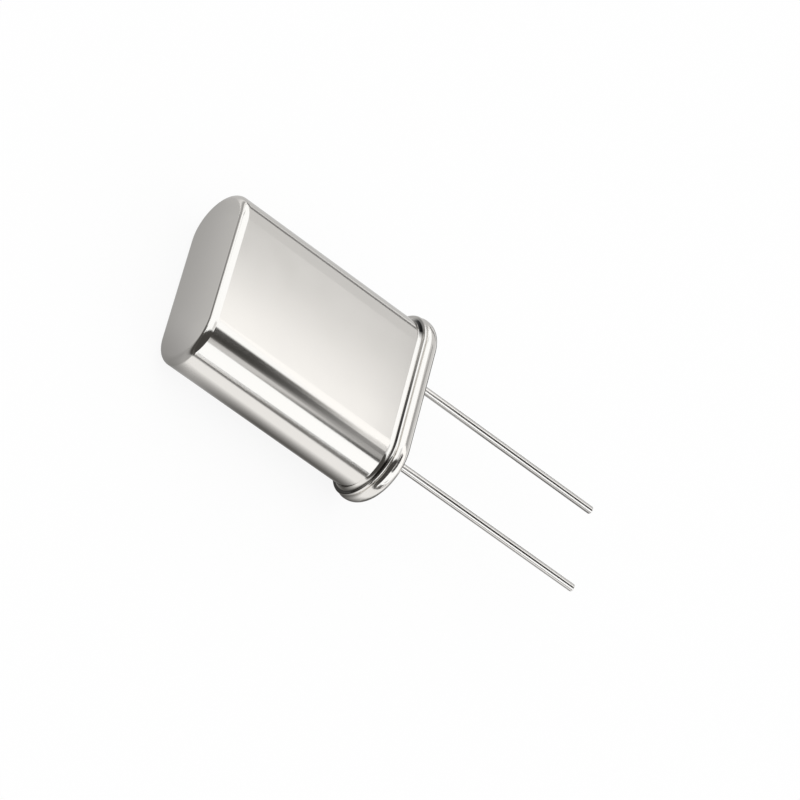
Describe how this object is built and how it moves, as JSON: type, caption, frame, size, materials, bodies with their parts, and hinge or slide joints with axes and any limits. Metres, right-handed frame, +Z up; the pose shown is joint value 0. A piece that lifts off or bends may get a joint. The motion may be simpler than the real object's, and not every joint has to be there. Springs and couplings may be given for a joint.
{
  "type": "quartz crystal unit",
  "caption": "Quartz crystal in a tall drawn metal can with rounded ends, sealed to a glass-to-metal header with straight wire leads for through-hole boards.",
  "frame": {"origin": "centre of the bottom of the bounding box, on the bench that the part lies on", "axes": "+X along the part from the can's closed end to the lead tips, +Y across the two leads, +Z up. The part lies on its broad back face as it comes to rest, bearing on the header's rim and the can's far edge, so its own axis leans up from +X by 1.91 degrees"},
  "size_m": [0.0272, 0.011, 0.005],
  "materials": {
    "nickel_plated_case": "bright nickel plate on deep-drawn and coined sheet, polished, with faint drawing lines",
    "seal_glass": "dark fused sealing glass with a smooth melted surface",
    "tinned_wire": "bright hot-dipped tin on alloy wire",
    "spring_metal": "rolled nickel-silver strip, satin",
    "quartz": "lapped and polished quartz",
    "silver_film": "evaporated silver, mirror bright",
    "silver_epoxy": "silver-filled epoxy, cured dull grey"
  },
  "bodies": {
    "root": {"can": "nickel_plated_case", "header": "nickel_plated_case", "glass_seal_left": "seal_glass", "glass_seal_right": "seal_glass", "lead_left": "tinned_wire", "lead_right": "tinned_wire", "mounting_clip_left": "spring_metal", "mounting_clip_right": "spring_metal", "quartz_blank": "quartz", "electrode_front": "silver_film", "electrode_back": "silver_film", "adhesive_left": "silver_epoxy", "adhesive_right": "silver_epoxy"}
  },
  "joints": []
}
